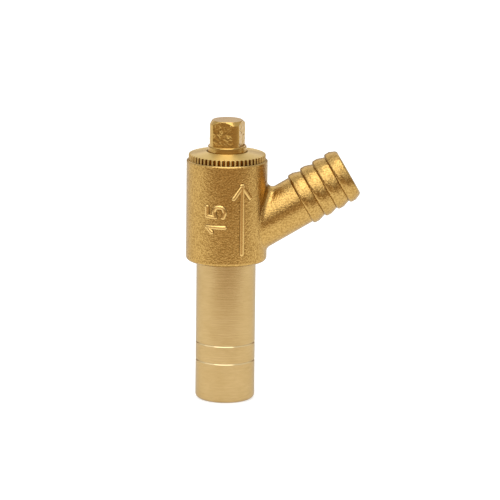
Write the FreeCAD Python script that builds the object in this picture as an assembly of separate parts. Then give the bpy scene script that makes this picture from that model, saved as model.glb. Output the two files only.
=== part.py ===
import FreeCAD, Part
import math
import os
from FreeCAD import Vector

# Screw-down drain cock with a plain stem, in millimetres.
# The origin is the centre of the stem's end face, +Z runs up the stem to the spindle's head,
# and the hose tail leaves the barrel towards +X.

# Stem: the plain turned spigot that goes into a pipe fitting
stem_diameter = 15.0
stem_length = 35.85
stem_wall = 2.0
stem_end_round = 1.2
stem_neck_chamfer = 0.4
ring_mark_height = 10.2
ring_mark_spacing = 4.6
ring_mark_width = 0.4
ring_mark_depth = 0.11

# Barrel: the hot-stamped body above the stem
barrel_diameter = 20.4
barrel_height = 25.75
barrel_foot_round = 0.9
lip_wall = 0.5
lip_chamfer = 0.3

# Raised arrow on the barrel's front, which shows the way the water runs
arrow_turn = 17.0
arrow_foot_height = 3.4
arrow_length = 17.4
arrow_head_length = 3.2
arrow_head_width = 4.4
arrow_stroke = 1.3
arrow_sink = 0.14

# Seat and chamber inside the barrel
barrel_floor = 3.0
seat_bore_diameter = 7.0
seat_width = 1.5
seat_height = 1.6
inlet_drill_angle = 118.0

# Hose tail: leaves the barrel's axis at tail_axis_height above the barrel's underside
tail_angle = 30.0
tail_axis_height = 4.4
tail_length = 35.5
tail_diameter = 12.6
tail_bore_diameter = 8.0
outlet_inset = 0.15
tail_root_fillet = 1.5
barb_count = 4
barb_pitch = 3.5
barb_rise = 0.6
barb_land = 1.7
barb_round = 0.7
tail_end_chamfer = 0.4

# Spindle thread, modelled as a plain cylinder at its mean diameter
thread_diameter = 13.2
thread_half_depth = 0.45
thread_lead_in = 0.8
spindle_lift = 3.0

# Spindle: seal land, shank and square head
land_height = 3.45
shank_diameter = 9.75
collar_above_cap = 1.5
collar_round = 0.4
head_height = 6.42
head_corner_diameter = 9.3
head_across_flats = 7.8
head_chamfer = 0.9
head_turn = -22.0
nose_inset = 0.4

# Retaining cap: pressed into the barrel's top, with a serrated rim
cap_depth = 2.0
cap_rim_height = 1.42
cap_crown_rise = 0.75
cap_edge_chamfer = 0.2
serration_count = 52
serration_depth = 0.45
serration_crest = 0.54
serration_lean = 0.06

# Jumper, washer and nut on the spindle's lower end
washer_diameter = 10.4
washer_thickness = 3.0
jumper_plate = 1.6
jumper_stem_diameter = 3.5
jumper_stem_length = 6.0
jumper_bead_height = 3.0
jumper_bead_rise = 0.25
spigot_diameter = 3.0
spigot_end = 0.3
nut_across_flats = 5.0
nut_height = 2.2
nut_chamfer_angle = 30.0

# O-ring in the spindle's groove
o_ring_section = 1.6
groove_side_room = 0.15

# Clearances
running_clearance = 0.05
face_gap = 0.02
fit_gap = 0.03
cap_press_gap = 0.01
cap_hole_clearance = 0.25
stop_gap = 0.05
tool_overrun = 1.0

# Radii that several pieces share
stem_r = stem_diameter / 2
stem_bore_r = stem_r - stem_wall
barrel_r = barrel_diameter / 2
seat_bore_r = seat_bore_diameter / 2
seat_r = seat_bore_r + seat_width
thread_r = thread_diameter / 2
chamber_r = thread_r - thread_half_depth
gland_r = thread_r + thread_half_depth + running_clearance
land_r = gland_r - running_clearance
cap_r = barrel_r - lip_wall
shank_r = shank_diameter / 2
cap_hole_r = shank_r + cap_hole_clearance
head_corner_r = head_corner_diameter / 2
tail_r = tail_diameter / 2
tail_bore_r = tail_bore_diameter / 2
barb_r = tail_r + barb_rise
washer_r = washer_diameter / 2
jumper_stem_r = jumper_stem_diameter / 2
jumper_bead_r = jumper_stem_r + jumper_bead_rise
spigot_r = spigot_diameter / 2
groove_r = gland_r - running_clearance - o_ring_section - fit_gap

# Heights, stacked up from the stem's end
barrel_top = stem_length + barrel_height
floor_z = stem_length + barrel_floor
seat_z = floor_z + seat_height
washer_bottom = seat_z + face_gap
plate_bottom = washer_bottom + washer_thickness
plate_top = plate_bottom + jumper_plate
spindle_foot = plate_top + face_gap
thread_bottom = spindle_foot + thread_lead_in
cap_seat = barrel_top - cap_depth
land_top = cap_seat - stop_gap - spindle_lift
land_bottom = land_top - land_height
gland_floor = land_bottom - running_clearance
cap_rim_top = barrel_top + cap_rim_height
cap_top = cap_rim_top + cap_crown_rise
collar_top = cap_top + collar_above_cap
head_top = collar_top + head_height

# Hose tail's own frame: distances run along its axis from the barrel's axis
tail_slope = math.radians(tail_angle)
tail_direction = Vector(math.cos(tail_slope), 0, math.sin(tail_slope))
tail_origin = Vector(0, 0, stem_length + tail_axis_height)
tail_inner_end = math.sqrt((chamber_r - outlet_inset) ** 2 - tail_bore_r**2)
first_barb = tail_length - barb_count * barb_pitch

AXIS = Vector(0, 0, 1)
ORIGIN = Vector(0, 0, 0)


def corner_arc(before, corner, after, radius):
    """Returns the arc that rounds a corner of an outline, as its start, middle and end points."""
    to_before = (before - corner).normalize()
    to_after = (after - corner).normalize()
    half_angle = to_before.getAngle(to_after) / 2
    reach = radius / math.tan(half_angle)
    bisector = (to_before + to_after).normalize()
    middle = corner + bisector * (radius / math.sin(half_angle) - radius)
    return corner + to_before * reach, middle, corner + to_after * reach


def outline_face(corners):
    """Makes a face in the XZ plane from corners (x, z) or (x, z, radius), in order."""
    points = [Vector(c[0], 0, c[1]) for c in corners]
    radii = [c[2] if len(c) > 2 else 0.0 for c in corners]
    edges = []
    stops = []
    for i, (point, radius) in enumerate(zip(points, radii)):
        if radius > 0:
            start, middle, end = corner_arc(points[i - 1], point, points[(i + 1) % len(points)], radius)
            edges.append(Part.Arc(start, middle, end).toShape())
            stops.append((start, end))
        else:
            stops.append((point, point))
    for i, (_, end) in enumerate(stops):
        start = stops[(i + 1) % len(stops)][0]
        if end.distanceToPoint(start) > 1e-7:
            edges.append(Part.makeLine(end, start))
    return Part.Face(Part.Wire(Part.__sortEdges__(edges)))


def turned(corners):
    """Makes a solid of revolution about the Z axis from an outline of radii and heights."""
    return outline_face(corners).revolve(ORIGIN, AXIS, 360)


def along_tail(shape):
    """Moves a solid that was turned about the Z axis onto the hose tail's axis."""
    shape.Placement = FreeCAD.Placement(tail_origin, FreeCAD.Rotation(AXIS, tail_direction))
    return shape


def ring_mark(height):
    """Returns the three outline corners of one shallow V-shaped ring turned in the stem."""
    half = ring_mark_width / 2
    return [
        (stem_r, height - half),
        (stem_r - ring_mark_depth, height),
        (stem_r, height + half),
    ]


def barrel_and_stem():
    """The outside of the barrel and stem, turned about one axis."""
    end_round = min(stem_end_round, 0.75 * stem_wall)
    return turned(
        [(0, 0), (stem_r, 0, end_round)]
        + ring_mark(ring_mark_height)
        + ring_mark(ring_mark_height + ring_mark_spacing)
        + [
            (stem_r, stem_length - stem_neck_chamfer),
            (stem_r + stem_neck_chamfer, stem_length),
            (barrel_r, stem_length, barrel_foot_round),
            (barrel_r, barrel_top - lip_chamfer),
            (barrel_r - lip_chamfer, barrel_top),
            (0, barrel_top),
        ]
    )


def tail_root_edges(shape):
    """Returns the edges where the hose tail's tube meets the barrel's wall."""
    found = []
    for edge in shape.Edges:
        middle = edge.valueAt((edge.FirstParameter + edge.LastParameter) / 2)
        from_barrel = math.hypot(middle.x, middle.y) - barrel_r
        from_tail = middle.distanceToLine(tail_origin, tail_direction) - tail_r
        if abs(from_barrel) < 1e-3 and abs(from_tail) < 1e-3:
            found.append(edge)
    return found


def rounded_stroke(start, end):
    """A round bar with round ends, laid from one point to another."""
    radius = arrow_stroke / 2
    length = (end - start).Length
    bar = turned(
        [
            (0, -radius),
            (radius, -radius, radius),
            (radius, length + radius, radius),
            (0, length + radius),
        ]
    )
    bar.Placement = FreeCAD.Placement(start, FreeCAD.Rotation(AXIS, end - start))
    return bar


def flow_arrow():
    """The raised arrow: three round strokes, sunk a little into the barrel's wall."""

    def on_wall(across, height):
        turn = math.radians(arrow_turn) + across / barrel_r
        reach = barrel_r - arrow_sink
        return Vector(reach * math.sin(turn), -reach * math.cos(turn), height)

    foot = stem_length + arrow_foot_height
    tip = foot + arrow_length
    wing = tip - arrow_head_length
    half = arrow_head_width / 2
    overlap = arrow_stroke / 8
    return [
        rounded_stroke(on_wall(0, foot), on_wall(0, tip - overlap)),
        rounded_stroke(on_wall(overlap, tip), on_wall(-half, wing)),
        rounded_stroke(on_wall(-overlap, tip), on_wall(half, wing)),
    ]


def tail_barbs():
    """The ribbed end of the hose tail: steep round shoulders towards the barrel, tapers towards the end."""
    corners = [(0, first_barb)]
    for i in range(barb_count):
        shoulder = first_barb + i * barb_pitch
        corners += [
            (tail_r, shoulder),
            (barb_r, shoulder, barb_round),
            (barb_r, shoulder + barb_land),
        ]
    corners += [
        (tail_r, tail_length - tail_end_chamfer),
        (tail_r - tail_end_chamfer, tail_length),
        (0, tail_length),
    ]
    return along_tail(turned(corners))


def waterway():
    """The space inside the stem and barrel: inlet, seat, chamber, thread, gland and the cap's recess."""
    drill_rise = (stem_bore_r - seat_bore_r) / math.tan(math.radians(inlet_drill_angle / 2))
    thread_bore_r = thread_r + running_clearance
    return turned(
        [
            (0, -tool_overrun),
            (stem_bore_r, -tool_overrun),
            (stem_bore_r, stem_length),
            (seat_bore_r, stem_length + drill_rise),
            (seat_bore_r, seat_z),
            (seat_r, seat_z),
            (seat_r, floor_z),
            (chamber_r, floor_z),
            (chamber_r, thread_bottom),
            (thread_bore_r, thread_bottom + thread_bore_r - chamber_r),
            (thread_bore_r, gland_floor),
            (gland_r, gland_floor),
            (gland_r, cap_seat),
            (cap_r, cap_seat),
            (cap_r, barrel_top + tool_overrun),
            (0, barrel_top + tool_overrun),
        ]
    )


def outlet_bore():
    """The drilled way from the chamber out through the hose tail."""
    length = tail_length + tool_overrun - tail_inner_end
    return along_tail(Part.makeCylinder(tail_bore_r, length, Vector(0, 0, tail_inner_end)))


def valve_body():
    """Barrel, stem and hose tail in one piece."""
    tube_length = first_barb + barb_land - tail_inner_end
    tube = along_tail(Part.makeCylinder(tail_r, tube_length, Vector(0, 0, tail_inner_end)))
    blank = barrel_and_stem().fuse(tube).removeSplitter()
    blank = blank.makeFillet(tail_root_fillet, tail_root_edges(blank))
    blank = blank.fuse([tail_barbs(), *flow_arrow()])
    return blank.cut([waterway(), outlet_bore()]).removeSplitter()


def serrated_face(radius, height):
    """A flat face with one notch between each pair of teeth round its rim."""
    step = 2 * math.pi / serration_count
    half_crest = serration_crest / 2 / radius
    root_radius = radius - serration_depth
    half_root = half_crest + serration_lean / root_radius

    def rim_point(r, angle):
        return Vector(r * math.cos(angle), r * math.sin(angle), height)

    edges = []
    for i in range(serration_count):
        middle = i * step
        leave = rim_point(radius, middle + half_crest)
        enter = rim_point(radius, middle + step - half_crest)
        leave_root = rim_point(root_radius, middle + half_root)
        enter_root = rim_point(root_radius, middle + step - half_root)
        start = rim_point(radius, middle - half_crest)
        edges.append(Part.Arc(start, rim_point(radius, middle), leave).toShape())
        edges.append(Part.makeLine(leave, leave_root))
        edges.append(Part.makeLine(leave_root, enter_root))
        edges.append(Part.makeLine(enter_root, enter))
    return Part.Face(Part.Wire(edges))


def retaining_cap():
    """Serrated cap with a slightly crowned top, pressed into the barrel's recess."""
    rim_r = cap_r - cap_press_gap
    turned_blank = turned(
        [
            (cap_hole_r, cap_seat),
            (rim_r - cap_edge_chamfer, cap_seat),
            (rim_r, cap_seat + cap_edge_chamfer),
            (rim_r, cap_rim_top - cap_edge_chamfer),
            (rim_r - cap_edge_chamfer, cap_rim_top),
            (cap_hole_r + cap_edge_chamfer, cap_top),
            (cap_hole_r, cap_top - cap_edge_chamfer),
        ]
    )
    rim = serrated_face(rim_r, cap_seat).extrude(AXIS * (cap_top - cap_seat))
    return turned_blank.common(rim)


def spindle_shaft():
    """The turned part of the spindle: nose, thread, grooved seal land and shank."""
    groove_half = o_ring_section / 2 + groove_side_room
    groove_middle = (land_top + land_bottom) / 2
    nose_r = chamber_r - nose_inset
    return turned(
        [
            (0, spindle_foot),
            (nose_r, spindle_foot),
            (nose_r, thread_bottom + running_clearance),
            (thread_r, thread_bottom + running_clearance + thread_r - nose_r),
            (thread_r, land_bottom),
            (land_r, land_bottom),
            (land_r, groove_middle - groove_half),
            (groove_r, groove_middle - groove_half),
            (groove_r, groove_middle + groove_half),
            (land_r, groove_middle + groove_half),
            (land_r, land_top),
            (shank_r, land_top),
            (shank_r, collar_top, collar_round),
            (0, collar_top),
        ]
    )


def square_head():
    """The square drive, milled from round bar, so that its corners stay round."""
    root = collar_top - collar_round
    bar = turned(
        [
            (0, root),
            (head_corner_r, root),
            (head_corner_r, head_top - head_chamfer),
            (head_corner_r - head_chamfer, head_top),
            (0, head_top),
        ]
    )
    half = head_across_flats / 2
    flats = Part.makeBox(
        head_across_flats,
        head_across_flats,
        head_top - root,
        Vector(-half, -half, root),
    )
    flats.rotate(ORIGIN, AXIS, head_turn)
    return bar.common(flats)


def jumper_socket():
    """The blind hole in the spindle's foot that the jumper's stem snaps into."""
    socket_r = jumper_stem_r + running_clearance
    bead_r = jumper_bead_r + running_clearance
    bead_z = plate_top + jumper_bead_height
    bead_half = bead_r - socket_r
    top = plate_top + jumper_stem_length + fit_gap
    return turned(
        [
            (0, spindle_foot - tool_overrun),
            (socket_r, spindle_foot - tool_overrun),
            (socket_r, bead_z - bead_half),
            (bead_r, bead_z),
            (socket_r, bead_z + bead_half),
            (socket_r, top),
            (0, top + socket_r),
        ]
    )


def spindle():
    """Square-headed spindle in one turned and milled piece."""
    return spindle_shaft().fuse(square_head()).cut(jumper_socket()).removeSplitter()


def spindle_o_ring():
    """Round-section rubber ring in the seal land's groove."""
    section_r = o_ring_section / 2
    middle_r = gland_r - running_clearance - section_r
    return Part.makeTorus(middle_r, section_r, Vector(0, 0, (land_top + land_bottom) / 2))


def jumper():
    """Washer plate with a beaded stem above and a spigot for the washer below."""
    bead_z = plate_top + jumper_bead_height
    bead_half = jumper_bead_rise
    stem_top = plate_top + jumper_stem_length
    spigot_bottom = washer_bottom - nut_height - spigot_end
    return turned(
        [
            (0, spigot_bottom),
            (spigot_r, spigot_bottom),
            (spigot_r, plate_bottom),
            (washer_r, plate_bottom),
            (washer_r, plate_top),
            (jumper_stem_r, plate_top),
            (jumper_stem_r, bead_z - bead_half),
            (jumper_bead_r, bead_z),
            (jumper_stem_r, bead_z + bead_half),
            (jumper_stem_r, stem_top),
            (0, stem_top),
        ]
    )


def seat_washer():
    """Flat rubber washer."""
    hole_r = spigot_r + fit_gap
    return turned(
        [
            (hole_r, washer_bottom),
            (washer_r, washer_bottom),
            (washer_r, plate_bottom),
            (hole_r, plate_bottom),
        ]
    )


def washer_nut():
    """Small hexagon nut, chamfered on its lower corners."""
    bottom = washer_bottom - nut_height
    corner_r = nut_across_flats / math.sqrt(3)
    flat_r = nut_across_flats / 2
    chamfer_rise = (corner_r - flat_r) * math.tan(math.radians(nut_chamfer_angle))
    hexagon = [
        Vector(corner_r * math.cos(math.radians(60 * i)), corner_r * math.sin(math.radians(60 * i)), bottom)
        for i in range(6)
    ]
    prism = Part.Face(Part.makePolygon(hexagon + hexagon[:1])).extrude(AXIS * nut_height)
    turned_blank = turned(
        [
            (spigot_r + fit_gap, bottom),
            (flat_r, bottom),
            (corner_r, bottom + chamfer_rise),
            (corner_r, washer_bottom),
            (spigot_r + fit_gap, washer_bottom),
        ]
    )
    return prism.common(turned_blank)


PIECES = {
    "valve_body": valve_body,
    "retaining_cap": retaining_cap,
    "spindle": spindle,
    "spindle_o_ring": spindle_o_ring,
    "jumper": jumper,
    "seat_washer": seat_washer,
    "washer_nut": washer_nut,
}


def main():
    """Builds each piece and writes it to parts/ as its own STEP file."""
    os.makedirs("parts", exist_ok=True)
    for name, build in PIECES.items():
        shape = build()
        shape.exportStep(os.path.join("parts", name + ".step"))
        print(name, len(shape.Solids), "solid,", round(shape.Volume, 1), "mm3, valid", shape.isValid())


main()
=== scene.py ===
"""Looks of a brass drain cock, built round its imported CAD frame.

Sizes in the classes are millimetres. Meshes are in metres, in the CAD's own frame: +Z runs up
the stem and barrel, +X points to the hose tail's side, and the origin is the middle of the
stem's end face.
"""

import logging
import math
from collections.abc import Callable, Sequence
from dataclasses import dataclass
from enum import Enum

import bpy
from mathutils import Matrix, Vector


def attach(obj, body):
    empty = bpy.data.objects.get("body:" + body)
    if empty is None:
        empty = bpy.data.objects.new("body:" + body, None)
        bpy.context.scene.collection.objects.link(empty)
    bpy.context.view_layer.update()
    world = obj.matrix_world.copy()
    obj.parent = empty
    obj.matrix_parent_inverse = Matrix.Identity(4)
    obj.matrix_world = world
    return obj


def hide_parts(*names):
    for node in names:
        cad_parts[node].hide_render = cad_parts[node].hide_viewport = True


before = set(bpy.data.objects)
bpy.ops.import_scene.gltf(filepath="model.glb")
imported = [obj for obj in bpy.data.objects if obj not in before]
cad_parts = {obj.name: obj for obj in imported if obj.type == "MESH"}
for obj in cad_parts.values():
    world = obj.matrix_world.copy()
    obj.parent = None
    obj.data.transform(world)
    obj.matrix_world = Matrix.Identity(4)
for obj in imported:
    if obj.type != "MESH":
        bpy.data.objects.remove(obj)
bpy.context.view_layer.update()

MM = 0.001
WELD = 0.001 * MM
UP = (0.0, 0.0, 1.0)
LEVEL = (1.0, 1.0, 0.0)
FULL_TURN = 2 * math.pi
HALF_PITCH = 0.5
FRONT_DEG = -90.0
WHITE = "#FFFFFF"
IMAGE_PX = 500
SENSOR_MM = 36.0

MATH = "ShaderNodeMath"
VECTOR_MATH = "ShaderNodeVectorMath"
MIX = "ShaderNodeMix"
MAP_RANGE = "ShaderNodeMapRange"
NOISE = "ShaderNodeTexNoise"

log = logging.getLogger("drain_cock")

Material = bpy.types.Material
Socket = bpy.types.NodeSocket
Values = dict[str, object]
Inputs = Values | Sequence[object]
Outline = Sequence[tuple[float, float]]
Sizes = dict[str, float | int]


class Body(Enum):
    """The moving bodies that new pieces ride on."""

    CASING = "body"
    SPINDLE = "spindle"


class Slot(Enum):
    """The record's material slots that new pieces belong to."""

    FORGED = "forged_brass"
    TURNED = "turned_brass"


def linear(colour: str) -> tuple[float, float, float, float]:
    """Turns an sRGB hex colour into Blender's linear colour.

    Args:
        colour: Six hex digits after a hash sign.

    Returns:
        Linear red, green and blue, with a full alpha.
    """
    channels = [int(colour[i : i + 2], 16) / 255 for i in (1, 3, 5)]
    # The numbers of the curve are the sRGB standard's own.
    red, green, blue = (c / 12.92 if c <= 0.04045 else ((c + 0.055) / 1.055) ** 2.4 for c in channels)
    return red, green, blue, 1.0


def per_metre(size_mm: float) -> float:
    """Gives the texture scale at which one cell of a pattern is as large as a real size."""
    return 1 / (size_mm * MM)


def towards(azimuth_deg: float, elevation_deg: float) -> Vector:
    """Gives the direction in which something stands, as seen from the cock.

    Args:
        azimuth_deg: Its angle round the cock, from the front towards the tail's side.
        elevation_deg: Its angle above the board.

    Returns:
        The direction, of length 1.
    """
    azimuth, elevation = math.radians(azimuth_deg), math.radians(elevation_deg)
    level = math.cos(elevation)
    return Vector((math.sin(azimuth) * level, -math.cos(azimuth) * level, math.sin(elevation)))


@dataclass(frozen=True)
class Wiring:
    """A node tree that is being built."""

    tree: bpy.types.NodeTree

    def fill(self, node: bpy.types.Node, inputs: Inputs) -> None:
        """Links or sets a node's inputs.

        Args:
            node: The node.
            inputs: Sockets to link and values to set, in order or by the inputs' names.
        """
        for key, value in inputs.items() if isinstance(inputs, dict) else enumerate(inputs):
            if isinstance(value, Socket):
                self.tree.links.new(value, node.inputs[key])
            else:
                node.inputs[key].default_value = value

    def add(
        self, kind: str, inputs: Inputs = (), output: str | None = None, **settings: object
    ) -> Socket | None:
        """Adds a node with its settings and links.

        Args:
            kind: Blender's type name for the node.
            inputs: Sockets to link and values to set, in order or by the inputs' names.
            output: Name of the output to hand back, where it isn't the first in use.
            settings: The node's own properties.

        Returns:
            The node's output, or nothing where it has none.
        """
        node = self.tree.nodes.new(kind)
        for name, value in settings.items():
            setattr(node, name, value)
        self.fill(node, inputs)
        if output:
            return node.outputs[output]
        return next((socket for socket in node.outputs if socket.enabled), None)


@dataclass(frozen=True)
class Canvas(Wiring):
    """A material's node tree, with where a point of the object lies.

    The place is in object coordinates, the radius is its distance from the stem's axis, the
    depth is its Y and the height its Z.
    """

    place: Socket
    radius: Socket
    depth: Socket
    height: Socket


@dataclass(frozen=True)
class Finish:
    """A finish whose patterns follow the object's own coordinates."""

    name: str

    def surface(self, canvas: Canvas) -> Values:
        """Gives the inputs of the surface shader, which each finish works out for itself."""
        raise NotImplementedError

    def make(self) -> Material:
        """Makes the material.

        Returns:
            The material.
        """
        material = bpy.data.materials.new(self.name)
        material.use_nodes = True
        tree = material.node_tree
        wiring = Wiring(tree)
        place = wiring.add("ShaderNodeTexCoord", output="Object")
        flat = wiring.add(VECTOR_MATH, [place, LEVEL], operation="MULTIPLY")
        radius = wiring.add(VECTOR_MATH, [flat], operation="LENGTH")
        parts = wiring.add("ShaderNodeSeparateXYZ", [place]).node.outputs
        canvas = Canvas(tree, place, radius, parts["Y"], parts["Z"])
        canvas.fill(tree.nodes["Principled BSDF"], self.surface(canvas))
        return material


@dataclass(frozen=True)
class TurnedBrass(Finish):
    """Free-cutting brass, turned and left bare.

    The tool leaves fine rings round the axis, so reflections stay bright but soften along it.
    The rings of a fine cut are too close to show, and are drawn a few times as wide.
    """

    name: str = "free_cutting_brass_turned"
    light: str = "#C9AD7B"
    dark: str = "#B2945F"
    roughness: float = 0.27
    ring_mm: float = 0.28
    ring_depth_mm: float = 0.025
    ring_detail: float = 3.0
    ring_raggedness: float = 0.65
    ring_top_mm: float = 1000.0
    cloud_mm: float = 6.0
    line_mm: float = 0.5
    line_draw: float = 4.0
    line_range: tuple[float, float] = (0.25, 0.75)
    line_share: float = 0.35
    tone_detail: float = 4.0

    def rings(self, canvas: Canvas) -> Socket:
        """Draws the tool's rings, which depend only on radius and height.

        Args:
            canvas: The material's node tree.

        Returns:
            Height of the rings in metres.
        """
        section = canvas.add("ShaderNodeCombineXYZ", {"X": canvas.radius, "Z": canvas.height})
        pattern = {
            "Vector": section,
            "Scale": per_metre(self.ring_mm),
            "Detail": self.ring_detail,
            "Roughness": self.ring_raggedness,
        }
        rings = canvas.add(NOISE, pattern)
        below_top = canvas.add(MATH, [canvas.height, self.ring_top_mm * MM], operation="LESS_THAN")
        for factor in (below_top, self.ring_depth_mm * MM):
            rings = canvas.add(MATH, [rings, factor], operation="MULTIPLY")
        return rings

    def colour(self, canvas: Canvas) -> Socket:
        """Mixes the brass's two tones in soft clouds and in fine lines along the cut.

        Args:
            canvas: The material's node tree.

        Returns:
            Base colour.
        """
        squeeze = (1 / self.line_draw, 1 / self.line_draw, 1.0)
        drawn = canvas.add(VECTOR_MATH, [canvas.place, squeeze], operation="MULTIPLY")
        clouds, lines = (
            canvas.add(NOISE, {"Vector": place, "Scale": per_metre(size), "Detail": self.tone_detail})
            for place, size in ((canvas.place, self.cloud_mm), (drawn, self.line_mm))
        )
        low, high = self.line_range
        clear = canvas.add(MAP_RANGE, {"Value": lines, "From Min": low, "From Max": high})
        share = canvas.add(MIX, {"Factor": self.line_share, "A": clouds, "B": clear}, data_type="FLOAT")
        tones = {"Factor": share, "A": linear(self.dark), "B": linear(self.light)}
        return canvas.add(MIX, tones, data_type="RGBA")

    def surface(self, canvas: Canvas) -> Values:
        """Gives bare metal with the tool's rings in it.

        Args:
            canvas: The material's node tree.

        Returns:
            Inputs of the surface shader.
        """
        rings = self.rings(canvas)
        return {
            "Metallic": 1.0,
            "Roughness": self.roughness,
            "Base Color": self.colour(canvas),
            "Normal": canvas.add("ShaderNodeBump", {"Height": rings, "Distance": 1.0}),
        }


@dataclass(frozen=True)
class PressedBrass(TurnedBrass):
    """Turned brass with a pressed head.

    The press leaves no tool rings on the head, and the spindle is a little yellower and smoother
    than the stem.
    """

    name: str = "free_cutting_brass_turned_and_pressed"
    light: str = "#CBA962"
    dark: str = "#A98444"
    roughness: float = 0.22
    ring_top_mm: float = 65.2


@dataclass(frozen=True)
class SerratedBrass(TurnedBrass):
    """Turned brass with a faced top and a serrated rim.

    The faced top throws a bright wedge towards the light. The notches are painted darker,
    partly with cutting oil and partly as painted shade in the recess, so the crests stand out.
    """

    name: str = "free_cutting_brass_faced_and_serrated"
    light: str = "#DCBF7A"
    dark: str = "#C8A962"
    roughness: float = 0.44
    draw: float = 0.9
    draw_turn: float = 0.25
    # Colour of the notches: cutting oil and painted shade in one.
    oil_and_notch_shade: str = "#80490A"
    film: float = 0.28
    crest_mm: float = 9.62
    notch_mm: float = 9.3
    notch_top_mm: float = 62.95

    def colour(self, canvas: Canvas) -> Socket:
        """Paints the notches darker, partly oil and partly painted shade, with a thin film on the
        crests.

        Args:
            canvas: The material's node tree.

        Returns:
            Base colour.
        """
        notch = {
            "Value": canvas.radius,
            "From Min": self.crest_mm * MM,
            "From Max": self.notch_mm * MM,
            "To Min": self.film,
        }
        # Painted shade: the rim grows darker with depth into the notches, on top of the oil's tint.
        depth = canvas.add(MAP_RANGE, notch)
        below_top = canvas.add(MATH, [canvas.height, self.notch_top_mm * MM], operation="LESS_THAN")
        share = canvas.add(MATH, [depth, below_top], operation="MULTIPLY")
        tones = {"Factor": share, "A": super().colour(canvas), "B": linear(self.oil_and_notch_shade)}
        return canvas.add(MIX, tones, data_type="RGBA")

    def surface(self, canvas: Canvas) -> Values:
        """Draws reflections out across the tool's rings.

        Args:
            canvas: The material's node tree.

        Returns:
            Inputs of the surface shader.
        """
        along_ring = canvas.add(VECTOR_MATH, [UP, canvas.place], operation="CROSS_PRODUCT")
        tangent = canvas.add(
            "ShaderNodeVectorTransform",
            [along_ring],
            vector_type="VECTOR",
            convert_from="OBJECT",
            convert_to="WORLD",
        )
        return super().surface(canvas) | {
            "Anisotropic": self.draw,
            "Anisotropic Rotation": self.draw_turn,
            "Tangent": tangent,
        }


@dataclass(frozen=True)
class BlastedBrass:
    """The skin of hot-stamped brass, shot-blasted clean.

    The shot leaves small overlapping pits, so reflections break up into a warm glittering grain
    of light crests and darker hollows.
    """

    light: str = "#CDA864"
    dark: str = "#9B773C"
    roughness: float = 0.25
    pit_mm: float = 0.44
    pit_depth_mm: float = 0.075
    pit_detail: float = 1.5
    grit_mm: float = 0.2
    grit_depth_mm: float = 0.030
    grit_detail: float = 2.0
    speckle_range: tuple[float, float] = (0.3, 0.62)
    cloud_mm: float = 4.0
    cloud_detail: float = 5.0
    cloud_share: float = 0.3

    def noise(self, canvas: Canvas) -> list[Socket]:
        """Draws the patterns of the skin.

        Args:
            canvas: The material's node tree.

        Returns:
            Blasted pits, finer grit marks and soft clouds, each from 0 to 1.
        """
        return [
            canvas.add(NOISE, {"Vector": canvas.place, "Scale": per_metre(size), "Detail": detail})
            for size, detail in (
                (self.pit_mm, self.pit_detail),
                (self.grit_mm, self.grit_detail),
                (self.cloud_mm, self.cloud_detail),
            )
        ]

    def skin(self, canvas: Canvas) -> tuple[Socket, Socket]:
        """Lays grit marks over the pits, and mixes the tones of crests and hollows.

        Args:
            canvas: The material's node tree.

        Returns:
            Height of the relief in metres, and base colour.
        """
        pits, grit, clouds = self.noise(canvas)
        height = 0.0
        for marks, depth in ((pits, self.pit_depth_mm), (grit, self.grit_depth_mm)):
            height = canvas.add(MATH, [marks, depth * MM, height], operation="MULTIPLY_ADD")
        low, high = self.speckle_range
        speckle = canvas.add(MAP_RANGE, {"Value": pits, "From Min": low, "From Max": high})
        mix = {"Factor": self.cloud_share, "A": speckle, "B": clouds}
        share = canvas.add(MIX, mix, data_type="FLOAT")
        tones = {"Factor": share, "A": linear(self.dark), "B": linear(self.light)}
        return height, canvas.add(MIX, tones, data_type="RGBA")


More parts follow.
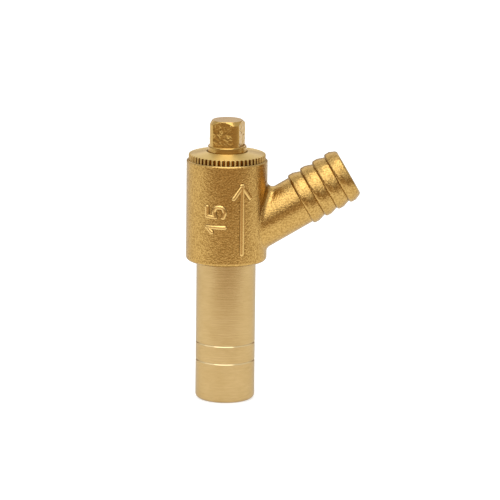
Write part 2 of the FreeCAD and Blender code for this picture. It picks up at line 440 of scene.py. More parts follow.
@dataclass(frozen=True)
class CastingBrass(Finish):
    """The body's brass: blasted outside, turned bright on the stem and in the bores.

    The raised marks on the barrel have a painted shadow line at the foot, and a crest rubbed smooth
    whose lighter colour is partly wear and partly painted highlight. The lower flanks of the stem's
    two rings get a painted highlight: a lighter colour, with a lower roughness.
    """

    name: str = "hot_stamped_brass_blasted_and_turned"
    blasted: BlastedBrass = BlastedBrass()
    turned: TurnedBrass = TurnedBrass()
    edge: str = "#D8DADC"
    cut_below_mm: float = 36.0
    wall_mm: float = 9.95
    bore_mm: float = 5.2
    bore_start_mm: float = 9.0
    mouth_mm: float = 35.3
    blend_mm: float = 0.15
    tail_base_mm: tuple[float, float, float] = (0.0, 0.0, 40.25)
    tail_angle_deg: float = 30.0
    barrel_mm: float = 10.2
    mark_rise_mm: float = 0.5
    mark_front_mm: float = -8.0
    mark_foot: tuple[float, float] = (0.06, 0.2)
    mark_crest: tuple[float, float] = (0.25, 0.6)
    # Painted shadow line at the foot of the marks, where they meet the barrel.
    foot_shadow: str = "#765521"
    # Crest colour: partly wear, partly painted highlight.
    rubbed_highlight: str = "#D6B26F"
    pits_left: float = 2 / 7
    # Painted highlight: the rings' lower flanks get this lighter colour.
    flank: str = "#E4CFA2"
    flank_roughness: float = 0.12
    flank_middle_mm: float = 12.4
    flank_apart_mm: float = 2.3
    flank_half_mm: float = 0.1

    def ramp(self, canvas: Canvas, length: Socket, edge_mm: float, rising: bool) -> Socket:
        """Makes a soft step at an edge.

        Args:
            canvas: The material's node tree.
            length: Length in metres.
            edge_mm: Where the step lies.
            rising: Whether the step goes from 0 up to 1, or down.

        Returns:
            The step, from 0 to 1.
        """
        step = {
            "Value": length,
            "From Min": (edge_mm - self.blend_mm) * MM,
            "From Max": (edge_mm + self.blend_mm) * MM,
            "To Min": float(not rising),
            "To Max": float(rising),
        }
        return canvas.add(MAP_RANGE, step, interpolation_type="SMOOTHSTEP")

    def skin_share(self, canvas: Canvas) -> Socket:
        """Finds where the blasted skin is left: on the barrel's and the tail's outside.

        Args:
            canvas: The material's node tree.

        Returns:
            1 on the blasted skin and 0 on cut metal.
        """
        slope = math.radians(self.tail_angle_deg)
        axis = (math.cos(slope), 0.0, math.sin(slope))
        base = [c * MM for c in self.tail_base_mm]
        offset = canvas.add(VECTOR_MATH, [canvas.place, base], operation="SUBTRACT")
        along, across = (
            canvas.add(VECTOR_MATH, [offset, axis], operation=product)
            for product in ("DOT_PRODUCT", "CROSS_PRODUCT")
        )
        apart = canvas.add(VECTOR_MATH, [across], operation="LENGTH")
        clear_of_bore = [
            self.ramp(canvas, along, self.bore_start_mm, rising=False),
            self.ramp(canvas, apart, self.bore_mm, rising=True),
        ]
        share = canvas.add(MATH, clear_of_bore, operation="MAXIMUM")
        for part in (
            self.ramp(canvas, canvas.height, self.cut_below_mm, rising=True),
            self.ramp(canvas, canvas.radius, self.wall_mm, rising=True),
            self.ramp(canvas, along, self.mouth_mm, rising=False),
        ):
            share = canvas.add(MATH, [share, part], operation="MULTIPLY")
        return share

    def mark_share(self, canvas: Canvas, stretch: tuple[float, float]) -> Socket:
        """Finds a stretch of the height of the marks that stand out on the barrel's front.

        Args:
            canvas: The material's node tree.
            stretch: Shares of the marks' height where the stretch starts and where it is full.

        Returns:
            0 below the stretch and 1 above it.
        """
        front = canvas.add(MATH, [canvas.depth, self.mark_front_mm * MM], operation="LESS_THAN")
        low, high = ((self.barrel_mm + share * self.mark_rise_mm) * MM for share in stretch)
        raised = {"Value": canvas.radius, "From Min": low, "From Max": high, "To Max": front}
        return canvas.add(MAP_RANGE, raised, interpolation_type="SMOOTHSTEP")

    def flank_highlight_share(self, canvas: Canvas) -> Socket:
        """Finds the lower flanks of the stem's two rings, which get a painted highlight.

        Args:
            canvas: The material's node tree.

        Returns:
            1 on the flanks and 0 elsewhere.
        """
        away = canvas.add(MATH, [canvas.height, self.flank_middle_mm * MM], operation="SUBTRACT")
        apart = canvas.add(MATH, [away], operation="ABSOLUTE")
        flank = [apart, self.flank_apart_mm * MM, self.flank_half_mm * MM]
        return canvas.add(MATH, flank, operation="COMPARE")

    def skin(self, canvas: Canvas) -> tuple[Socket, Socket]:
        """Lays the marks on the blasted skin, with shallower pits on their crests.

        Args:
            canvas: The material's node tree.

        Returns:
            Height of the relief in metres, and base colour.
        """
        relief, colour = self.blasted.skin(canvas)
        foot, crest = (self.mark_share(canvas, s) for s in (self.mark_foot, self.mark_crest))
        left = canvas.add(MAP_RANGE, {"Value": crest, "To Min": 1.0, "To Max": self.pits_left})
        relief = canvas.add(MATH, [relief, left], operation="MULTIPLY")
        # Painted shadow line at the foot, then the lighter crest: partly wear, partly painted highlight.
        for where, tone in ((foot, self.foot_shadow), (crest, self.rubbed_highlight)):
            colour = canvas.add(MIX, {"Factor": where, "A": colour, "B": linear(tone)}, data_type="RGBA")
        return relief, colour

    def surface(self, canvas: Canvas) -> Values:
        """Lays the skin over the cut metal.

        Args:
            canvas: The material's node tree.

        Returns:
            Inputs of the surface shader.
        """
        share, flank = self.skin_share(canvas), self.flank_highlight_share(canvas)
        relief, skin_colour = self.skin(canvas)
        # On the rings' lower flanks: a lighter colour, which is a painted highlight, and a lower
        # roughness.
        cut_roughness, cut_colour = (
            canvas.add(MIX, {"Factor": flank, "A": stem, "B": bright}, data_type=kind)
            for kind, stem, bright in (
                ("FLOAT", self.turned.roughness, self.flank_roughness),
                ("RGBA", self.turned.colour(canvas), linear(self.flank)),
            )
        )
        height, roughness, colour = (
            canvas.add(MIX, {"Factor": share, "A": bare, "B": skin}, data_type=kind)
            for kind, bare, skin in (
                ("FLOAT", self.turned.rings(canvas), relief),
                ("FLOAT", cut_roughness, self.blasted.roughness),
                ("RGBA", cut_colour, skin_colour),
            )
        )
        return {
            "Metallic": 1.0,
            "Specular Tint": linear(self.edge),
            "Roughness": roughness,
            "Base Color": colour,
            "Normal": canvas.add("ShaderNodeBump", {"Height": height, "Distance": 1.0}),
        }


@dataclass(frozen=True)
class MouldedRubber(Finish):
    """Black nitrile rubber, moulded: a soft dark sheen over a faintly grained skin."""

    name: str = "nitrile_rubber_moulded"
    light: str = "#26262A"
    dark: str = "#141416"
    roughness: float = 0.62
    grain_mm: float = 0.4
    grain_depth_mm: float = 0.01
    grain_detail: float = 3.0

    def surface(self, canvas: Canvas) -> Values:
        """Gives dark rubber with a fine grain.

        Args:
            canvas: The material's node tree.

        Returns:
            Inputs of the surface shader.
        """
        scale = per_metre(self.grain_mm)
        pattern = {"Vector": canvas.place, "Scale": scale, "Detail": self.grain_detail}
        grain = canvas.add(NOISE, pattern)
        tones = {"Factor": grain, "A": linear(self.dark), "B": linear(self.light)}
        relief = {"Height": grain, "Distance": self.grain_depth_mm * MM}
        return {
            "Roughness": self.roughness,
            "Base Color": canvas.add(MIX, tones, data_type="RGBA"),
            "Normal": canvas.add("ShaderNodeBump", relief),
        }


@dataclass(frozen=True)
class WhiteBoard(Finish):
    """Matt white board, lit through from below, so that hardly a shadow shows on it."""

    name: str = "matt_white_board"
    pale: str = "#BDBDBB"
    tint: str = WHITE
    glow: float = 0.62
    roughness: float = 0.9

    def surface(self, canvas: Canvas) -> Values:
        """Gives an even face that glows.

        Args:
            canvas: The material's node tree.

        Returns:
            Inputs of the surface shader.
        """
        return {
            "Base Color": linear(self.pale),
            "Roughness": self.roughness,
            "Emission Color": linear(self.tint),
            "Emission Strength": self.glow,
        }


@dataclass(frozen=True)
class BrownCard(WhiteBoard):
    """Brown card with a faint warm glow, seen only in the metal's reflections: a painted reflection
    that gives the bright metal a dark side.

    Its near edge fades out, so that it shows as no line in the metal.
    """

    name: str = "matt_brown_card"
    pale: str = "#957D60"
    # The card's faint warm glow is part of the painted reflection.
    tint: str = "#E3C396"
    glow: float = 0.21
    fade_from_mm: float = -100.0
    fade_to_mm: float = -150.0

    def surface(self, canvas: Canvas) -> Values:
        """Fades the card out towards the cock.

        Args:
            canvas: The material's node tree.

        Returns:
            Inputs of the surface shader.
        """
        near, far = self.fade_from_mm * MM, self.fade_to_mm * MM
        fade = {"Value": canvas.depth, "From Min": near, "From Max": far}
        share = canvas.add(MAP_RANGE, fade, interpolation_type="SMOOTHSTEP")
        return super().surface(canvas) | {"Alpha": share}


def dress_node(node: str, material: Material) -> None:
    """Gives a CAD node its finish.

    Args:
        node: Name of the node.
        material: Finish that it gets.
    """
    for material_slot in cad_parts[node].material_slots:
        material_slot.material = material
    log.info("%s: CAD node in %s", node, material.name)


def line_mesh(name: str, lines: Sequence[Outline]) -> bpy.types.Mesh:
    """Makes a mesh of bare edges in the XZ plane, for a node tree to start from.

    Args:
        name: Name of the mesh.
        lines: Lists of points across and up, in millimetres.

    Returns:
        The mesh, in metres.
    """
    points: list[tuple[float, float, float]] = []
    edges: list[tuple[int, int]] = []
    for line in lines:
        first = len(points)
        points += [(across * MM, 0.0, up * MM) for across, up in line]
        edges += [(i, i + 1) for i in range(first, len(points) - 1)]
    mesh = bpy.data.meshes.new(name)
    mesh.from_pydata(points, edges, [])
    return mesh


@dataclass(frozen=True)
class Plan(Wiring):
    """The Geometry Nodes tree of a piece, with its sizes and its input node's outputs."""

    sizes: Sizes
    given: bpy.types.NodeOutputs

    def round_axis(self, turn: Socket, radius: Socket, height: Socket) -> Socket:
        """Places a point round the Z axis.

        Args:
            turn: Angle from +X.
            radius: Distance from the axis.
            height: Height above the origin.

        Returns:
            The point.
        """
        sides = []
        for operation in ("COSINE", "SINE"):
            share = self.add(MATH, [turn], operation=operation)
            sides.append(self.add(MATH, [share, radius], operation="MULTIPLY"))
        return self.add("ShaderNodeCombineXYZ", [*sides, height])

    def finish(self, shape: Socket, crease_deg: float) -> None:
        """Closes the tree: welded seams, smooth faces, sharp creases, real meshes, and the finish.

        Args:
            shape: The shape that the tree has made.
            crease_deg: Bend above which an edge stays sharp.
        """
        bends = [self.add("GeometryNodeInputMeshEdgeAngle"), math.radians(crease_deg)]
        gentle = self.add("FunctionNodeCompare", bends, data_type="FLOAT", operation="LESS_THAN")
        shape = self.add("GeometryNodeMergeByDistance", {"Geometry": shape, "Distance": WELD})
        for domain, smooth in (("FACE", True), ("EDGE", gentle)):
            shading = {"Geometry": shape, "Shade Smooth": smooth}
            shape = self.add("GeometryNodeSetShadeSmooth", shading, domain=domain)
        shape = self.add("GeometryNodeRealizeInstances", {"Geometry": shape})
        material = self.given["Material"]
        shape = self.add("GeometryNodeSetMaterial", {"Geometry": shape, "Material": material})
        self.add("NodeGroupOutput", {"Geometry": shape})

    def piece(self, name: str, lines: Sequence[Outline], material: Material) -> bpy.types.Object:
        """Runs the tree once and keeps its result as a plain mesh.

        Args:
            name: Name of the piece.
            lines: Lists of points across and up, in millimetres, that the tree starts from.
            material: Finish of the piece.

        Returns:
            The piece, at the origin.
        """
        start = line_mesh(name + "_lines", lines)
        carrier = bpy.data.objects.new(start.name, start)
        bpy.context.scene.collection.objects.link(carrier)
        modifier = carrier.modifiers.new(name, "NODES")
        modifier.node_group = self.tree
        values = {**self.sizes, "Material": material}
        for item in self.tree.interface.items_tree:
            if item.in_out == "INPUT" and item.name in values:
                modifier[item.identifier] = values[item.name]
        graph = bpy.context.evaluated_depsgraph_get()
        mesh = bpy.data.meshes.new_from_object(carrier.evaluated_get(graph))
        mesh.name = name
        carrier.modifiers.remove(modifier)
        bpy.data.objects.remove(carrier)
        bpy.data.meshes.remove(start)
        piece = bpy.data.objects.new(name, mesh)
        bpy.context.scene.collection.objects.link(piece)
        log.info("%s: %d faces in %s", name, len(mesh.polygons), material.name)
        return piece


def start_plan(name: str, sizes: Sizes) -> Plan:
    """Starts a Geometry Nodes tree with a named input for each size.

    Args:
        name: Name of the tree.
        sizes: Values by the inputs' names, which show whether they are whole numbers.

    Returns:
        The tree.
    """
    tree = bpy.data.node_groups.new(name, "GeometryNodeTree")
    sockets = [
        ("Geometry", "INPUT", "Geometry"),
        ("Geometry", "OUTPUT", "Geometry"),
        ("Material", "INPUT", "Material"),
    ]
    for size, value in sizes.items():
        sockets.append((size, "INPUT", "Int" if isinstance(value, int) else "Float"))
    for label, way, kind in sockets:
        tree.interface.new_socket(label, in_out=way, socket_type="NodeSocket" + kind)
    return Plan(tree, sizes, Wiring(tree).add("NodeGroupInput").node.outputs)


@dataclass(frozen=True)
class Ring(Plan):
    """The plan of a turned piece, with where a point of its section lies."""

    turn: Socket
    radius: Socket
    height: Socket


def turned_plan(name: str, sizes: Sizes, rule: Callable[[Ring], Socket], crease_deg: float) -> Plan:
    """Builds a tree that sweeps a section round the Z axis and then alters its radius by a rule.

    Args:
        name: Name of the tree.
        sizes: The tree's named inputs; Steps Round is one of them.
        rule: Adds the nodes that give the new radius.
        crease_deg: Bend above which an edge stays sharp.

    Returns:
        The tree.
    """
    plan = start_plan(name, sizes)
    steps = plan.given["Steps Round"]
    outline = plan.add("GeometryNodeMeshToCurve", {"Mesh": plan.given["Geometry"]})
    circle = plan.add("GeometryNodeCurvePrimitiveCircle", {"Resolution": steps})
    place = plan.add("GeometryNodeInputPosition")
    share = plan.add(MATH, [plan.add("GeometryNodeInputIndex"), steps], operation="DIVIDE")
    angle = plan.add(MATH, [share, FULL_TURN], operation="MULTIPLY")
    curves, kept = {}, {}
    for label, curve, value, kind in (
        ("section", outline, place, "FLOAT_VECTOR"),
        ("turn", circle, angle, "FLOAT"),
    ):
        note = {"Geometry": curve, "Name": label, "Value": value}
        curves[label] = plan.add(
            "GeometryNodeStoreNamedAttribute", note, data_type=kind, domain="POINT"
        )
        kept[label] = plan.add("GeometryNodeInputNamedAttribute", {"Name": label}, data_type=kind)
    sweep = {"Curve": curves["turn"], "Profile Curve": curves["section"]}
    shape = plan.add("GeometryNodeCurveToMesh", sweep)
    parts = plan.add("ShaderNodeSeparateXYZ", [kept["section"]]).node.outputs
    ring = Ring(plan.tree, plan.sizes, plan.given, kept["turn"], parts["X"], parts["Z"])
    point = plan.round_axis(ring.turn, rule(ring), ring.height)
    shape = plan.add("GeometryNodeSetPosition", {"Geometry": shape, "Position": point})
    for label in kept:
        shape = plan.add("GeometryNodeRemoveAttribute", {"Geometry": shape, "Name": label})
    plan.finish(plan.add("GeometryNodeFlipFaces", {"Mesh": shape}), crease_deg)
    return plan


@dataclass
class ValveBody:
    """Barrel, stem and hose tail in one casting, with the tube size cast on the barrel.

    The numerals' strokes are given as shares of their width and height.
    """

    brass: Material
    barrel_radius: float = 10.2
    mark_turn_deg: float = -20.7
    mark_middle: float = 47.9
    mark_radius: float = 0.65
    mark_sink: float = 0.14
    corner_round: float = 0.9
    corner_steps: int = 6
    point_spacing: float = 0.1
    steps_round: int = 20
    crease_deg: float = 60.0
    numeral_height: float = 4.6
    numeral_width: float = 2.6
    numeral_gap: float = 1.5
    one: Sequence[Outline] = (
        ((0.6, 0.0), (0.6, 1.0)),
        ((0.6, 1.0), (0.1, 0.72)),
    )
    five: Sequence[Outline] = (
        ((1.0, 1.0), (0.08, 1.0)),
        ((0.08, 1.0), (0.0, 0.52)),
        ((0.0, 0.52), (0.55, 0.62), (1.0, 0.5), (1.0, 0.1), (0.5, 0.0), (0.0, 0.1)),
    )

    def run_on(self, line: Outline) -> Outline:
        """Lengthens a stroke at both ends by the bead's radius.

        Args:
            line: Points of the stroke.

        Returns:
            Points of the longer stroke.
        """
        ends = []
        for end, inner in ((line[0], line[1]), (line[-1], line[-2])):
            share = self.mark_radius / math.dist(end, inner)
            ends.append(tuple(e + (e - i) * share for e, i in zip(end, inner)))
        return [ends[0], *line[1:-1], ends[1]]

    def numerals(self) -> list[Outline]:
        """Draws the tube's size, 15, as plain strokes that read up the barrel.

        Returns:
            Strokes as points along the barrel's girth and up it.
        """
        tall, wide = self.numeral_height, self.numeral_width
        step = wide + self.numeral_gap
        start = self.mark_middle - (step + wide) / 2
        strokes = []
        for foot, numeral in ((start, self.one), (start + step, self.five)):
            for line in numeral:
                drawn = self.run_on([(x * wide, y * tall) for x, y in line])
                strokes.append([(tall / 2 - y, foot + x) for x, y in drawn])
        return strokes

    def round_ends(self, plan: Plan) -> Socket:
        """Rounds a stroke off at both ends.

        Args:
            plan: The piece's node tree.

        Returns:
            Share of the stroke's full thickness at each point.
        """
        passed = plan.add("GeometryNodeSplineParameter", output="Length")
        whole = plan.add("GeometryNodeSplineLength")
        ahead = plan.add(MATH, [whole, passed], operation="SUBTRACT")
        nearer = plan.add(MATH, [passed, ahead], operation="MINIMUM")
        end = {"Value": nearer, "From Max": plan.given["Bead Radius"], "To Min": 1.0, "To Max": 0.0}
        short = plan.add(MAP_RANGE, end)
        square = plan.add(MATH, [short, short], operation="MULTIPLY")
        left = plan.add(MATH, [1.0, square], operation="SUBTRACT")
        return plan.add(MATH, [left], operation="SQRT")

    def mark_plan(self, sizes: Sizes) -> Plan:
        """Builds the tree that lays round strokes on the barrel.

        Args:
            sizes: The tree's named inputs.

        Returns:
            The tree.
        """
        plan = start_plan("strokes_on_barrel", sizes)
        given = plan.given
        lines = plan.add("GeometryNodeMeshToCurve", {"Mesh": given["Geometry"]})
        corner = {"Curve": lines, "Radius": given["Corner Round"], "Count": given["Corner Steps"]}
        rounded = plan.add("GeometryNodeFilletCurve", corner, mode="POLY")
        spacing = {"Curve": rounded, "Length": given["Point Spacing"]}
        even = plan.add("GeometryNodeResampleCurve", spacing, mode="LENGTH")
        girth = given["Barrel Radius"]
        flat = plan.add("ShaderNodeSeparateXYZ", [plan.add("GeometryNodeInputPosition")]).node.outputs
        around = plan.add(MATH, [flat["X"], girth], operation="DIVIDE")
        turn = plan.add(MATH, [around, given["Turn"]], operation="ADD")
        sunk = plan.add(MATH, [girth, given["Sink"]], operation="SUBTRACT")
        point = plan.round_axis(turn, sunk, flat["Z"])
        laid = plan.add("GeometryNodeSetPosition", {"Geometry": even, "Position": point})
        circle = {"Resolution": given["Steps Round"], "Radius": given["Bead Radius"]}
        bead = plan.add("GeometryNodeCurvePrimitiveCircle", circle)
        sweep = {"Curve": laid, "Profile Curve": bead, "Scale": self.round_ends(plan)}
        plan.finish(plan.add("GeometryNodeCurveToMesh", sweep), self.crease_deg)
        return plan

    def build(self) -> None:
        """Dresses the casting and lays the size mark on its barrel."""
        dress_node("valve_body", self.brass)
        sizes = {
            "Barrel Radius": self.barrel_radius * MM,
            "Turn": math.radians(FRONT_DEG + self.mark_turn_deg),
            "Bead Radius": self.mark_radius * MM,
            "Sink": self.mark_sink * MM,
            "Corner Round": self.corner_round * MM,
            "Corner Steps": self.corner_steps,
            "Point Spacing": self.point_spacing * MM,
            "Steps Round": self.steps_round,
        }
        plan = self.mark_plan(sizes)
        mark = plan.piece("size_mark", self.numerals(), self.brass)
        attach(mark, Body.CASING.value)


@dataclass
class RetainingCap:
    """Serrated brass cap, pressed into the barrel's lip."""

    brass: Material
    hole_radius: float = 5.125
    rim_radius: float = 9.69
    seat: float = 59.6
    rim_top: float = 63.02
    top: float = 63.77
    edge: float = 0.2
    edge_cut: float = 0.06
    tooth_count: int = 52
    tooth_depth: float = 0.45
    tooth_crest: float = 0.54
    tooth_flank: float = 0.08
    steps_per_tooth: int = 12
    crease_deg: float = 32.0

    def section(self) -> Outline:
        """Draws the cap's closed section, anticlockwise from the foot of its hole.

        Returns:
            Points across and up. Those at the notches' roots keep the top even.
        """
        hole, rim, edge, cut = self.hole_radius, self.rim_radius, self.edge, self.edge_cut
        slope = (self.top - self.rim_top) / (rim - hole - 2 * edge)
        root = rim - self.tooth_depth - edge
        root_top = self.rim_top + slope * (rim - edge - root)
        return [
            (hole, self.seat),
            (root, self.seat),
            (rim - edge, self.seat),
            (rim, self.seat + edge),
            (rim, self.rim_top - edge),
            (rim - cut, self.rim_top - cut),
            (rim - edge, self.rim_top),
            (root, root_top),
            (root - edge, root_top + slope * edge),
            (hole + edge, self.top),
            (hole + cut, self.top - cut),
            (hole, self.top - edge),
            (hole, self.seat),
        ]

    def tooth_rule(self, ring: Ring) -> Socket:
        """Cuts the notches between the teeth.

        Args:
            ring: Node tree, with turn, radius and height of a point.

        Returns:
            New radius.
        """
        given = ring.given
        rim, crest = given["Rim Radius"], given["Half Crest"]
        pitch = ring.add(MATH, [FULL_TURN, given["Teeth"]], operation="DIVIDE")
        away = ring.add(MATH, [ring.turn, pitch], operation="DIVIDE")
        for operation, value in (("PINGPONG", HALF_PITCH), ("MULTIPLY", pitch), ("MULTIPLY", rim)):
            away = ring.add(MATH, [away, value], operation=operation)
        foot = ring.add(MATH, [crest, given["Flank"]], operation="ADD")
        root = ring.add(MATH, [rim, given["Notch Depth"]], operation="SUBTRACT")
        flank = {"Value": away, "From Min": crest, "From Max": foot, "To Min": rim, "To Max": root}
        allowed = ring.add(MAP_RANGE, flank)
        return ring.add(MATH, [ring.radius, allowed], operation="MINIMUM")

    def build(self) -> None:
        """Builds the cap in place of its CAD node."""
        sizes = {
            "Steps Round": self.tooth_count * self.steps_per_tooth,
            "Teeth": self.tooth_count,
            "Rim Radius": self.rim_radius * MM,
            "Notch Depth": self.tooth_depth * MM,
            "Half Crest": self.tooth_crest / 2 * MM,
            "Flank": self.tooth_flank * MM,
        }
        plan = turned_plan("serrated_cap", sizes, self.tooth_rule, self.crease_deg)
        cap = plan.piece("serrated_cap", [self.section()], self.brass)
        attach(cap, Body.CASING.value)
        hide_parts("retaining_cap")


@dataclass
class Spindle:
    """Spindle turned from one bar, with a thread, a pressed square head, and its O-ring.

    The crest and the root of the thread are shares of its pitch. A thin seam in height parts the
    collar from the head, so that each follows its own rule.
    """

    brass: Material
    rubber: Material
    foot: float = 45.09
    socket_radius: float = 1.8
    socket_bead_radius: float = 2.05
    socket_bead: float = 48.07
    socket_top: float = 51.10
    nose_radius: float = 5.75
    nose_top: float = 45.94
    thread_radius: float = 6.6
    thread_depth: float = 0.8
    thread_pitch: float = 1.5
    thread_crest: float = 0.16
    thread_root: float = 0.1
    thread_run_in: float = 0.75
    thread_run_out: float = 1.0
    thread_end_gap: float = 0.5
    land_bottom: float = 53.1
    land_top: float = 56.55
    land_radius: float = 7.05
    groove_radius: float = 5.42
    groove_half: float = 0.95
    shank_radius: float = 4.875
    collar_top: float = 65.27
    collar_round: float = 0.4
    head_top: float = 71.69
    head_corner_radius: float = 4.65
    head_half: float = 3.9
    head_chamfer: float = 0.9
    head_turn_deg: float = -22.0
    press_size: float = 1.5
    press_depth: float = 0.36
    press_proud: float = 0.12
    press_detail: float = 2.0
    press_swirl: float = 1.6
    seam: float = 0.002
    station_spacing: float = 0.12
    round_steps: int = 8
    steps_round: int = 320
    crease_deg: float = 32.0

    @property
    def thread_start(self) -> float:
        """Height at which the thread starts, above the chamfer of the nose."""
        return self.nose_top + self.thread_radius - self.nose_radius

    def stations(self, bottom: tuple[float, float], top: tuple[float, float]) -> Outline:
        """Spaces points evenly up a wall or a chamfer.

        Args:
            bottom: Radius and height of its lower end.
            top: Radius and height of its upper end.

        Returns:
            The points, both ends included.
        """
        count = math.ceil((top[1] - bottom[1]) / self.station_spacing)
        shares = [i / count for i in range(count + 1)]
        return [tuple(b + (t - b) * share for b, t in zip(bottom, top)) for share in shares]

    def section(self) -> Outline:
        """Draws half the spindle's section, from its socket's top round to its head's middle.

        Returns:
            Points across and up.
        """
        bead = self.socket_bead_radius - self.socket_radius
        groove = (self.land_top + self.land_bottom) / 2
        groove_ends = (groove - self.groove_half, groove + self.groove_half)
        chamfer_foot = (self.head_corner_radius, self.head_top - self.head_chamfer)
        chamfer_top = (self.head_corner_radius - self.head_chamfer, self.head_top)
        collar_round = [
            (
                self.shank_radius - self.collar_round * (1 - math.cos(angle)),
                self.collar_top - self.seam - self.collar_round * (1 - math.sin(angle)),
            )
            for angle in (math.pi / 2 * i / self.round_steps for i in range(self.round_steps + 1))
        ]
        thread_ends = [(self.thread_radius, z) for z in (self.thread_start, self.land_bottom)]
        return [
            (0.0, self.socket_top + self.socket_radius),
            (self.socket_radius, self.socket_top),
            (self.socket_radius, self.socket_bead + bead),
            (self.socket_bead_radius, self.socket_bead),
            (self.socket_radius, self.socket_bead - bead),
            (self.socket_radius, self.foot),
            (self.nose_radius, self.foot),
            (self.nose_radius, self.nose_top),
            *self.stations(*thread_ends),
            (self.land_radius, self.land_bottom),
            (self.land_radius, groove_ends[0]),
            (self.groove_radius, groove_ends[0]),
            (self.groove_radius, groove_ends[1]),
            (self.land_radius, groove_ends[1]),
            (self.land_radius, self.land_top),
            (self.shank_radius, self.land_top),
            *collar_round,
            *self.stations((self.head_corner_radius, self.collar_top), chamfer_foot),
            *self.stations(chamfer_foot, chamfer_top)[1:],
            (0.0, self.head_top),
        ]

    def thread_rule(self, ring: Ring) -> Socket:
        """Cuts a right-hand V thread, which runs out at both ends.

        Args:
            ring: Node tree, with turn, radius and height of a point.

        Returns:
            Radius of the threaded shaft.
        """
        given = ring.given
        climb = ring.add(MATH, [ring.height, given["Pitch"]], operation="DIVIDE")
        turns = ring.add(MATH, [ring.turn, FULL_TURN], operation="DIVIDE")
        phase = ring.add(MATH, [climb, turns], operation="SUBTRACT")
        wave = ring.add(MATH, [phase, HALF_PITCH], operation="PINGPONG")
        cut = given["Thread Depth"]
        for value, start, full in (
            (wave, "Crest Share", "Root Share"),
            (ring.height, "Thread Start", "Thread Full"),
            (ring.height, "Thread End", "Thread Last"),
        ):
            rise = {"Value": value, "From Min": given[start], "From Max": given[full]}
            share = ring.add(MAP_RANGE, rise)
            cut = ring.add(MATH, [cut, share], operation="MULTIPLY")
        return ring.add(MATH, [ring.radius, cut], operation="SUBTRACT")

    def square_rule(self, ring: Ring) -> Socket:
        """Gives the square's flats, with the marks of the press on them.

        Args:
            ring: Node tree, with turn, radius and height of a point.

        Returns:
            Distance of the flat from the axis, in the point's direction.
        """
        given = ring.given
        turn = ring.add(MATH, [ring.turn, given["Head Turn"]], operation="SUBTRACT")
        shares = []
        for operation in ("COSINE", "SINE"):
            share = ring.add(MATH, [turn], operation=operation)
            shares.append(ring.add(MATH, [share], operation="ABSOLUTE"))
        larger = ring.add(MATH, shares, operation="MAXIMUM")
        around = ring.add(MATH, [turn, self.head_half * MM], operation="MULTIPLY")
        pattern = {
            "Vector": ring.add("ShaderNodeCombineXYZ", {"Y": around, "Z": ring.height}),
            "Scale": per_metre(self.press_size),
            "Detail": self.press_detail,
            "Distortion": self.press_swirl,
        }
        marks = ring.add(NOISE, pattern)
        depth = ring.add(MATH, [marks, given["Press Depth"]], operation="MULTIPLY")
        flat = ring.add(MATH, [given["Head Half"], depth], operation="SUBTRACT")
        return ring.add(MATH, [flat, larger], operation="DIVIDE")

    def rule(self, ring: Ring) -> Socket:
        """Gives thread, collar and head, each in its own stretch of the height.

        Args:
            ring: Node tree, with turn, radius and height of a point.

        Returns:
            New radius.
        """
        square = self.square_rule(ring)
        bar = ring.add(MATH, [square, ring.given["Corner Radius"]], operation="MINIMUM")
        collar = ring.add(MATH, [ring.radius, bar], operation="MAXIMUM")
        head = ring.add(MATH, [ring.radius, square], operation="MINIMUM")
        radius = self.thread_rule(ring)
        for edge, above in (("Collar Bottom", collar), ("Head Bottom", head)):
            higher = ring.add(MATH, [ring.height, ring.given[edge]], operation="GREATER_THAN")
            radius = ring.add(MIX, {"Factor": higher, "A": radius, "B": above}, data_type="FLOAT")
        return radius

    def build(self) -> None:
        """Builds the spindle in place of its CAD node, and dresses the ring."""
        thread_end = self.land_bottom - self.thread_end_gap
        sizes = {
            "Steps Round": self.steps_round,
            "Pitch": self.thread_pitch * MM,
            "Crest Share": self.thread_crest / 2,
            "Root Share": HALF_PITCH - self.thread_root / 2,
            "Thread Depth": self.thread_depth * MM,
            "Thread Start": self.thread_start * MM,
            "Thread Full": (self.thread_start + self.thread_run_in) * MM,
            "Thread Last": (thread_end - self.thread_run_out) * MM,
            "Thread End": thread_end * MM,
            "Collar Bottom": (self.collar_top - self.collar_round - 2 * self.seam) * MM,
            "Head Bottom": (self.collar_top - self.seam / 2) * MM,
            "Head Turn": math.radians(self.head_turn_deg),
            "Head Half": (self.head_half + self.press_proud) * MM,
            "Corner Radius": self.head_corner_radius * MM,
            "Press Depth": self.press_depth * MM,
        }
        plan = turned_plan("threaded_spindle", sizes, self.rule, self.crease_deg)
        spindle = plan.piece("threaded_spindle", [self.section()], self.brass)
        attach(spindle, Body.SPINDLE.value)
        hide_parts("spindle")
        dress_node("spindle_o_ring", self.rubber)


@dataclass
class Jumper:
    """Washer plate with its rubber washer and nut, inside the barrel."""

    brass: Material
    rubber: Material

    def build(self) -> None:
        """Dresses the three pieces."""
        for node in ("jumper", "washer_nut"):
            dress_node(node, self.brass)
        dress_node("seat_washer", self.rubber)


@dataclass(frozen=True)
class SoftBox:
    """A flat lamp with an even face, which looks at the cock."""

    name: str
    azimuth_deg: float
    elevation_deg: float
    distance: float
    width: float
    height: float
    brightness: float
    aim: tuple[float, float, float] = (0.0, 0.0, 40.0)

    def build(self) -> None:
        """Hangs the lamp."""
        away = towards(self.azimuth_deg, self.elevation_deg)
        data = bpy.data.lights.new(self.name, "AREA")
        data.shape = "RECTANGLE"
        data.size, data.size_y = self.width * MM, self.height * MM
        data.energy = self.brightness * math.pi * data.size * data.size_y
        lamp = bpy.data.objects.new(self.name, data)
        lamp.location = (Vector(self.aim) + away * self.distance) * MM
        lamp.rotation_euler = away.to_track_quat("Z", "Y").to_euler()
        lamp.visible_camera = False
        bpy.context.scene.collection.objects.link(lamp)


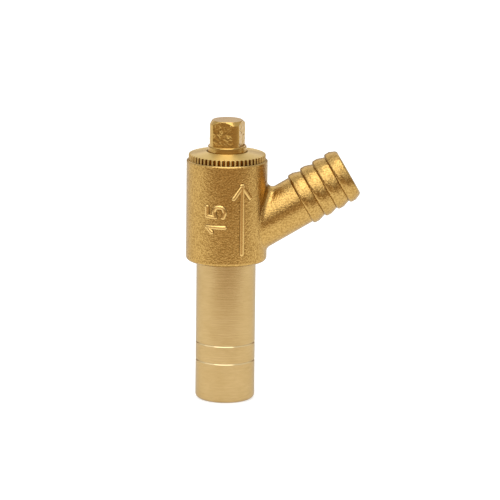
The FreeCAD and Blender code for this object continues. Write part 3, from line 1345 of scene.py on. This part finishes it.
@dataclass(frozen=True)
class PhotoCamera:
    """Long lens at the photograph's viewing angle, aimed to the right of its target and above it."""

    target: tuple[float, float, float] = (0.0, 0.0, 36.0)
    azimuth_deg: float = -5.13
    elevation_deg: float = 12.764
    roll_deg: float = 0.604
    distance: float = 1148.3
    focal_px: float = 4548.0
    aim_right: float = 6.028
    aim_up: float = 2.128
    nearest: float = 10.0
    farthest: float = 10_000.0

    def build(self) -> None:
        """Makes the camera and hands it to the scene."""
        target = Vector(self.target)
        back = towards(self.azimuth_deg, self.elevation_deg)
        level = Vector(UP).cross(back).normalized()
        roll = Matrix.Rotation(math.radians(self.roll_deg), 3, back)
        right, up = roll @ level, roll @ back.cross(level)
        place = target + back * self.distance
        back = (place - target - right * self.aim_right - up * self.aim_up).normalized()
        right = up.cross(back).normalized()
        data = bpy.data.cameras.new("photo_camera")
        data.sensor_width = SENSOR_MM
        data.lens = self.focal_px * SENSOR_MM / IMAGE_PX
        data.clip_start, data.clip_end = self.nearest * MM, self.farthest * MM
        camera = bpy.data.objects.new("photo_camera", data)
        turn = Matrix((right, back.cross(right), back)).transposed().to_4x4()
        camera.matrix_world = Matrix.Translation(place * MM) @ turn
        bpy.context.scene.collection.objects.link(camera)
        bpy.context.scene.camera = camera


@dataclass
class Studio:
    """White board, a card out of the picture, a soft dome of light, soft boxes and camera."""

    board_half: float = 3000.0
    card_height: float = 0.5
    dome_brightness: float = 0.80
    horizon_brightness: float = 0.36
    horizon_tint: str = "#E7BF88"
    dome_from_deg: float = 2.0
    dome_to_deg: float = 22.0
    boxes: tuple[SoftBox, ...] = (
        SoftBox(
            name="front_box_above_camera", azimuth_deg=-12.0, elevation_deg=42.0, distance=700.0,
            width=900.0, height=560.0, brightness=1.25,
        ),
        SoftBox(
            name="left_box", azimuth_deg=-80.0, elevation_deg=45.0, distance=620.0,
            width=420.0, height=420.0, brightness=0.4,
        ),
        SoftBox(
            name="back_box", azimuth_deg=180.0, elevation_deg=32.0, distance=650.0,
            width=700.0, height=420.0, brightness=0.6,
        ),
        SoftBox(
            name="top_box", azimuth_deg=0.0, elevation_deg=80.0, distance=700.0,
            width=500.0, height=500.0, brightness=2.0,
        ),
    )

    def light_air(self) -> None:
        """Makes the air bright overhead, and darker and warmer at the level of the eye."""
        world = bpy.data.worlds.new("studio_air")
        world.use_nodes = True
        air = Wiring(world.node_tree)
        direction = air.add("ShaderNodeTexCoord", output="Generated")
        rise = air.add("ShaderNodeSeparateXYZ", [direction], output="Z")
        low, high = (math.sin(math.radians(a)) for a in (self.dome_from_deg, self.dome_to_deg))
        dome = {"Value": rise, "From Min": low, "From Max": high}
        share = air.add(MAP_RANGE, dome, interpolation_type="SMOOTHSTEP")
        brightness, tint = (
            air.add(MIX, {"Factor": share, "A": horizon, "B": top}, data_type=kind)
            for kind, horizon, top in (
                ("FLOAT", self.horizon_brightness, self.dome_brightness),
                ("RGBA", linear(self.horizon_tint), linear(WHITE)),
            )
        )
        air.fill(world.node_tree.nodes["Background"], {"Color": tint, "Strength": brightness})
        bpy.context.scene.world = world

    def lay_sheet(self, name: str, back: float, height: float, material: Material) -> bpy.types.Object:
        """Lays a flat sheet that reaches from the studio's front to a line.

        Args:
            name: Name of the sheet.
            back: Where its far edge lies.
            height: How high it lies.
            material: What it is made of.

        Returns:
            The sheet.
        """
        half = self.board_half
        corners = [(-half, -half), (half, -half), (half, back), (-half, back)]
        mesh = bpy.data.meshes.new(name)
        mesh.from_pydata([(x * MM, y * MM, height * MM) for x, y in corners], [], [(0, 1, 2, 3)])
        mesh.materials.append(material)
        sheet = bpy.data.objects.new(name, mesh)
        bpy.context.scene.collection.objects.link(sheet)
        return sheet

    def build(self) -> None:
        """Sets up board, card, air, lamps and camera."""
        self.lay_sheet("white_board", self.board_half, 0.0, WhiteBoard().make())
        # Painted reflection: a faintly glowing card that only the metal sees.
        card = BrownCard()
        sheet = self.lay_sheet("brown_card", card.fade_from_mm, self.card_height, card.make())
        # The card is there for the metal alone: the board under it stays white and evenly lit.
        sheet.visible_camera = False
        sheet.visible_diffuse = False
        sheet.visible_shadow = False
        self.light_air()
        bpy.context.scene.view_settings.view_transform = "Standard"
        for box in self.boxes:
            box.build()
        PhotoCamera().build()


def main() -> None:
    """Builds the cock's sub-assemblies and the studio in order."""
    logging.basicConfig(level=logging.INFO, format="%(name)s: %(message)s")
    rubber = MouldedRubber().make()
    for assembly in (
        ValveBody(CastingBrass().make()),
        RetainingCap(SerratedBrass().make()),
        Spindle(PressedBrass().make(), rubber),
        Jumper(TurnedBrass().make(), rubber),
        Studio(),
    ):
        assembly.build()
        log.info("%s done", type(assembly).__name__)


if __name__ == "__main__":
    main()
